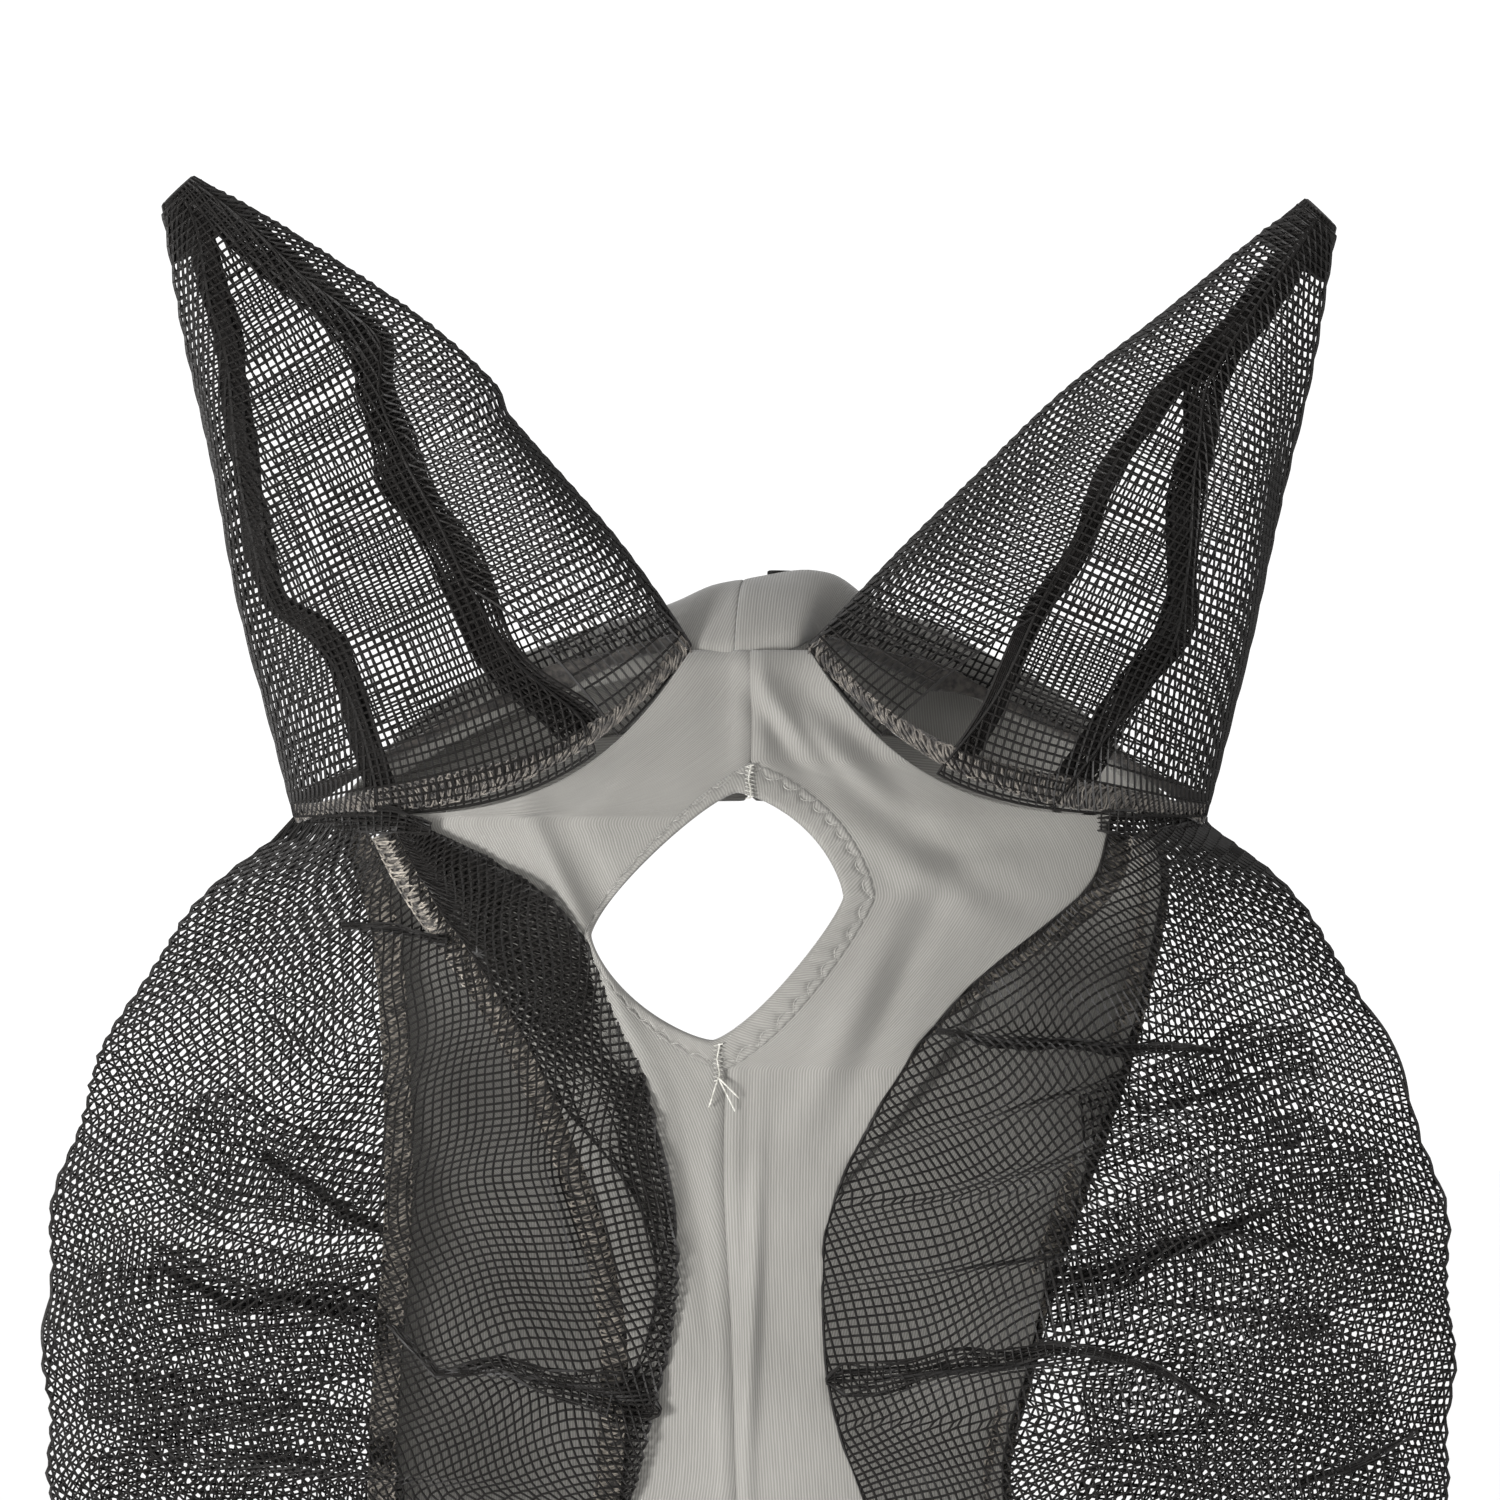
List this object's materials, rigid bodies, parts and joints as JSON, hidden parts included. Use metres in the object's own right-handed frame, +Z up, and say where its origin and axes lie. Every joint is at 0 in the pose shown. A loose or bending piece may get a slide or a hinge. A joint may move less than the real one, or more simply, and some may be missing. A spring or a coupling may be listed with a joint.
{
  "type": "fly mask",
  "caption": "Stretch fly mask for a horse with mesh eye domes, mesh ear pockets and a bound forelock hole, in its worn shape.",
  "frame": {"origin": "middle of the head space, level with the narrowest part of the nose strip", "axes": "+Z up the face to the ears, -Y out of the front of the face, +X to the right as seen from the front"},
  "size_m": [0.3846, 0.1532, 0.505],
  "materials": {
    "stretch_fabric": "fine ribbed knit, soft sheen",
    "open_mesh": "open square mesh of coated thread",
    "overlock_thread": "looped overlock stitching",
    "grey_thread": "spun thread",
    "elastic_tape": "woven elastic",
    "label_tape": "blank woven tape"
  },
  "bodies": {
    "hood": {"front_panel_right": "stretch_fabric", "front_panel_left": "stretch_fabric", "jaw_panel_right": "stretch_fabric", "jaw_panel_left": "stretch_fabric", "nape_panel_right": "stretch_fabric", "nape_panel_left": "stretch_fabric", "eye_mesh_right": "open_mesh", "eye_mesh_left": "open_mesh", "eye_front_seam_right": "overlock_thread", "eye_front_seam_left": "overlock_thread", "eye_rear_seam_right": "overlock_thread", "eye_rear_seam_left": "overlock_thread", "eye_front_dart_right": "open_mesh", "eye_front_dart_left": "open_mesh", "eye_rear_dart_right": "open_mesh", "eye_rear_dart_left": "open_mesh", "forelock_binding": "stretch_fabric", "forelock_zigzag_stitch": "grey_thread", "bartack_top": "grey_thread", "bartack_bottom": "grey_thread", "front_centre_seam_upper": "stretch_fabric", "front_centre_seam_lower": "stretch_fabric", "nape_centre_seam": "stretch_fabric", "jaw_centre_seam": "stretch_fabric", "crown_seam": "stretch_fabric", "nape_side_seam_right": "stretch_fabric", "nape_side_seam_left": "stretch_fabric", "nose_side_seam_right": "stretch_fabric", "nose_side_seam_left": "stretch_fabric", "neck_hem": "stretch_fabric", "neck_elastic": "elastic_tape", "nose_hem": "stretch_fabric", "nose_elastic": "elastic_tape", "care_label": "label_tape", "ear_base_seam_right": "overlock_thread", "ear_base_seam_left": "overlock_thread", "ear_flex_mesh_right": "open_mesh", "ear_flex_mesh_left": "open_mesh"},
    "ear_right": {"ear_front_mesh_right": "open_mesh", "ear_back_mesh_right": "open_mesh", "ear_inner_seam_right": "open_mesh", "ear_outer_seam_right": "open_mesh", "ear_tip_fold_right": "open_mesh"},
    "ear_left": {"ear_front_mesh_left": "open_mesh", "ear_back_mesh_left": "open_mesh", "ear_inner_seam_left": "open_mesh", "ear_outer_seam_left": "open_mesh", "ear_tip_fold_left": "open_mesh"}
  },
  "joints": [
    {"name": "ear_right_tilt", "type": "hinge", "parent": "hood", "child": "ear_right", "pos_m": [0.016, -0.044, 0.163], "axis": [0.8753, 0.308, -0.3728], "range_deg": [-10, 30], "stiffness_Nm_per_rad": 0.15, "deforming": ["ear_flex_mesh_right"]},
    {"name": "ear_left_tilt", "type": "hinge", "parent": "hood", "child": "ear_left", "pos_m": [-0.016, -0.044, 0.163], "axis": [0.8753, -0.308, 0.3728], "range_deg": [-10, 30], "stiffness_Nm_per_rad": 0.15, "deforming": ["ear_flex_mesh_left"]}
  ]
}
